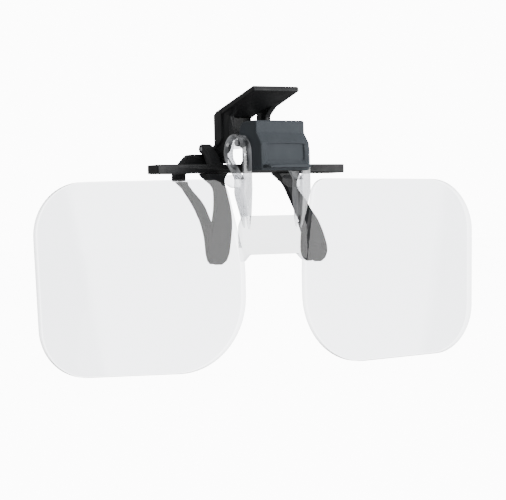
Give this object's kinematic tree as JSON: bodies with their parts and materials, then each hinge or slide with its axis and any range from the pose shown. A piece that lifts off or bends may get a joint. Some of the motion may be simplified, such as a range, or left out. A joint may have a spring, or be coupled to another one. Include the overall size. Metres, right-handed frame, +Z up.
{
  "type": "clip-on flip-up lens pair",
  "caption": "Clear frameless lens pair hung by two looped arms from a hinge box on a sprung clip with rubber-padded jaws, a crossbar and a thumb tab.",
  "frame": {"origin": "midway between the closed rubber pads on the symmetry plane, where the clip grips a spectacle bridge", "axes": "+X to the right of someone facing the front of the lenses, +Y from the lenses to the wearer, +Z up"},
  "size_m": [0.1146, 0.0261, 0.0623],
  "materials": {
    "black_plastic": "satin moulded black plastic",
    "housing_plastic": "fine-textured dark grey plastic",
    "pad_rubber": "matt black rubber",
    "clear_acrylic": "polished clear acrylic",
    "steel": "ground steel pins and leaf",
    "spring_steel": "drawn spring wire"
  },
  "bodies": {
    "front_jaw": {"front_crossbar": "black_plastic", "front_prong_left": "black_plastic", "front_prong_right": "black_plastic", "front_pad_left": "pad_rubber", "front_pad_right": "pad_rubber", "hinge_housing": "housing_plastic", "friction_leaf": "steel", "jaw_pin_left": "steel", "jaw_pin_right": "steel", "torsion_spring_left": "spring_steel", "torsion_spring_right": "spring_steel"},
    "lens_pair": {"lens_left": "clear_acrylic", "lens_right": "clear_acrylic", "lens_bridge": "clear_acrylic", "hinge_arm_left": "clear_acrylic", "hinge_arm_right": "clear_acrylic", "flip_axle": "steel"},
    "rear_jaw": {"rear_lever": "black_plastic", "rear_prong_left": "black_plastic", "rear_prong_right": "black_plastic", "rear_pad_left": "pad_rubber", "rear_pad_right": "pad_rubber"}
  },
  "joints": [
    {"name": "lens_flip", "type": "hinge", "parent": "front_jaw", "child": "lens_pair", "pos_m": [0, -0.00175, 0.0245], "axis": [-1, 0, 0], "range_deg": [0, 100]},
    {"name": "clamp", "type": "hinge", "parent": "front_jaw", "child": "rear_jaw", "pos_m": [0, 0.012, 0.0238], "axis": [1, 0, 0], "range_deg": [0, 18], "stiffness_Nm_per_rad": 0.15, "springref_deg": -20.05, "deforming": ["torsion_spring_left", "torsion_spring_right"]}
  ]
}
